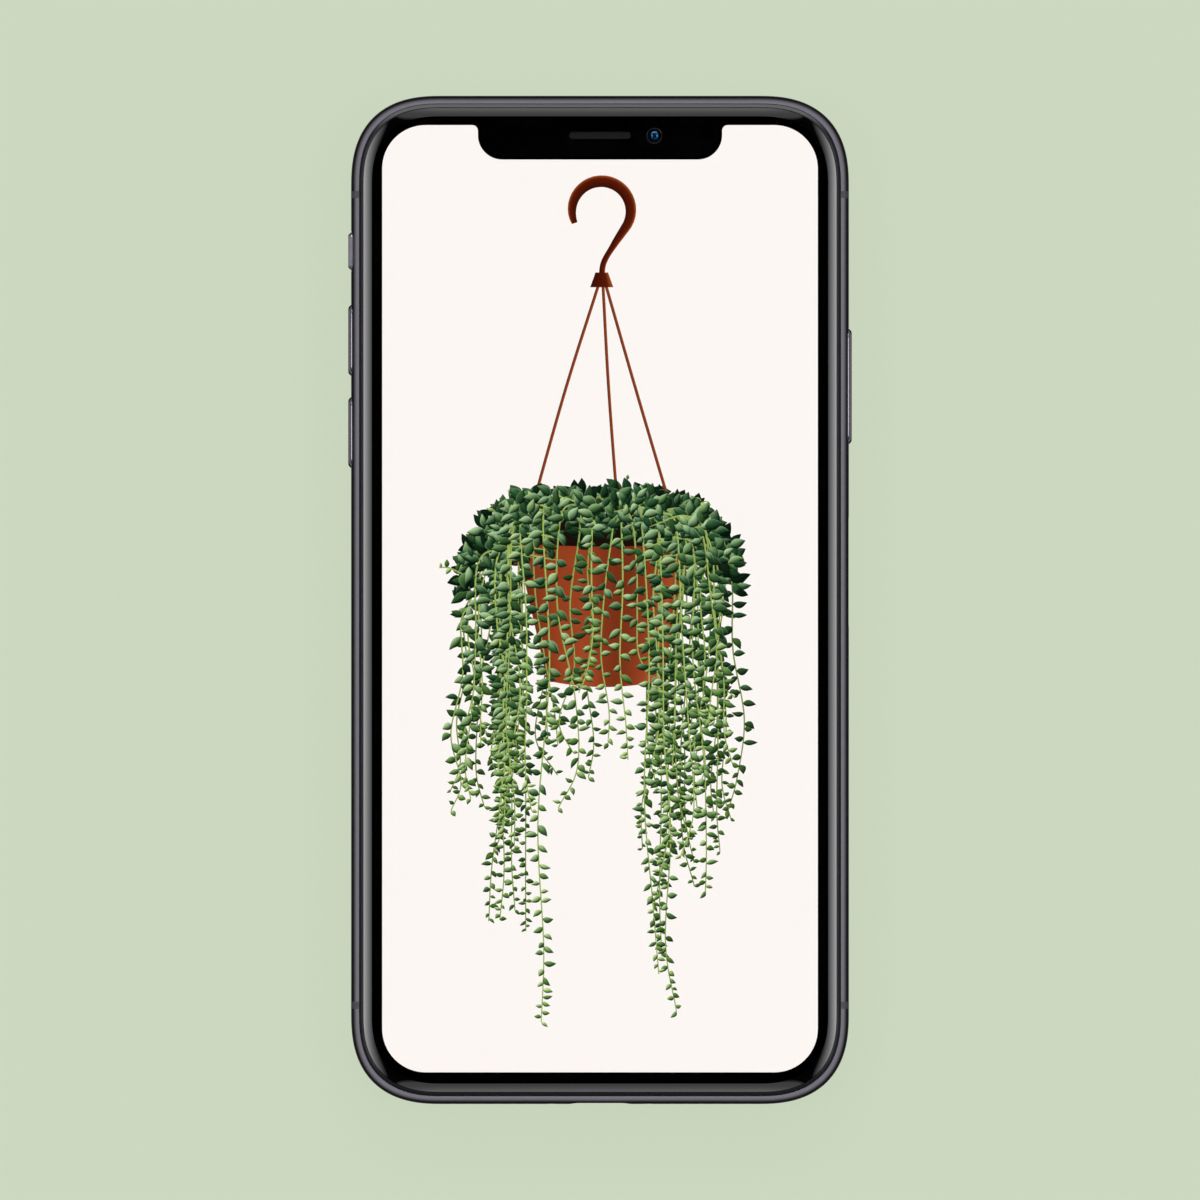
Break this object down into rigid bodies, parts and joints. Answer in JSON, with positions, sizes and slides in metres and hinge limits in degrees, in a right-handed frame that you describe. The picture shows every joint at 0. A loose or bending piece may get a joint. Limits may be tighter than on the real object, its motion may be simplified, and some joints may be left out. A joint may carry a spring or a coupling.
{
  "type": "smartphone",
  "caption": "Slim phone with a notched screen almost to its edges, rounded metal band, glass back with a raised camera island, side keys and a mute lever; lies on its back.",
  "frame": {"origin": "under the middle of the phone, on the surface that it lies on", "axes": "+Z out of the screen, +Y up the screen towards the notch, +X to the right as the screen is read"},
  "size_m": [0.0716, 0.1436, 0.0087],
  "materials": {
    "band": "polished stainless steel with a near-black coating",
    "key": "polished stainless steel with a near-black coating",
    "antenna_break": "dark moulded filler, ground flush",
    "bezel": "black moulded gasket",
    "front_glass": "polished cover glass",
    "mask": "black printed border",
    "screen": "lit screen, cream with a picture of a hanging pot",
    "back_glass": "polished glass, printed dark grey on its inside",
    "lens_ring": "turned steel with a dark coating",
    "lens_glass": "coated lens cover",
    "camera_lens": "coated lens, dark blue",
    "flash": "frosted window over a yellow lamp",
    "mesh": "fine black wire mesh",
    "inner_steel": "stamped steel sheet",
    "board": "lacquered circuit board",
    "battery": "foil pouch in black film",
    "copper": "copper winding and copper-coloured flat cable",
    "module": "black moulded housing",
    "contact": "black moulded tongue with flush contacts"
  },
  "bodies": {
    "case": {"band_top": "band", "band_left": "band", "band_right": "band", "band_bottom": "band", "antenna_break_upper_right": "antenna_break", "antenna_break_lower_right": "antenna_break", "antenna_break_upper_left": "antenna_break", "antenna_break_lower_left": "antenna_break", "front_glass": "front_glass", "display_bezel": "bezel", "display_mask": "mask", "display_panel": "screen", "display_carrier": "inner_steel", "earpiece_mesh": "mesh", "front_camera": "module", "front_camera_lens": "camera_lens", "earpiece_speaker": "module", "infrared_camera": "module", "dot_projector": "module", "sensor_bracket": "inner_steel", "back_glass": "back_glass", "back_plate": "inner_steel", "camera_island": "back_glass", "wide_lens_ring": "lens_ring", "wide_lens_glass": "lens_glass", "wide_camera": "module", "tele_lens_ring": "lens_ring", "tele_lens_glass": "lens_glass", "tele_camera": "module", "flash_window": "flash", "flash_lamp": "module", "mute_switch": "module", "volume_switches": "copper", "side_switch": "copper", "card_tray": "band", "card_reader": "inner_steel", "port_shell": "inner_steel", "port_tongue": "contact", "end_screw_left": "band", "end_screw_right": "band", "loudspeaker_mesh": "mesh", "microphone_mesh": "mesh", "port_cable": "copper", "battery_cable": "copper", "display_cable": "copper", "loudspeaker": "module", "microphone": "module", "haptic_motor": "inner_steel", "charging_coil": "copper", "battery": "battery", "logic_board": "board", "lower_shield": "inner_steel", "upper_shield": "inner_steel"},
    "volume_up": {"volume_up_key": "key"},
    "volume_down": {"volume_down_key": "key"},
    "side": {"side_key": "key"},
    "mute": {"mute_lever": "key"}
  },
  "joints": [
    {"name": "volume_up_press", "type": "slide", "parent": "case", "child": "volume_up", "axis": [1, 0, 0], "range_m": [0, 0.00025], "stiffness_N_per_m": 3000},
    {"name": "volume_down_press", "type": "slide", "parent": "case", "child": "volume_down", "axis": [1, 0, 0], "range_m": [0, 0.00025], "stiffness_N_per_m": 3000},
    {"name": "side_press", "type": "slide", "parent": "case", "child": "side", "axis": [-1, 0, 0], "range_m": [0, 0.00025], "stiffness_N_per_m": 3000},
    {"name": "mute_slide", "type": "slide", "parent": "case", "child": "mute", "axis": [0, 0, -1], "range_m": [0, 0.0013]}
  ]
}
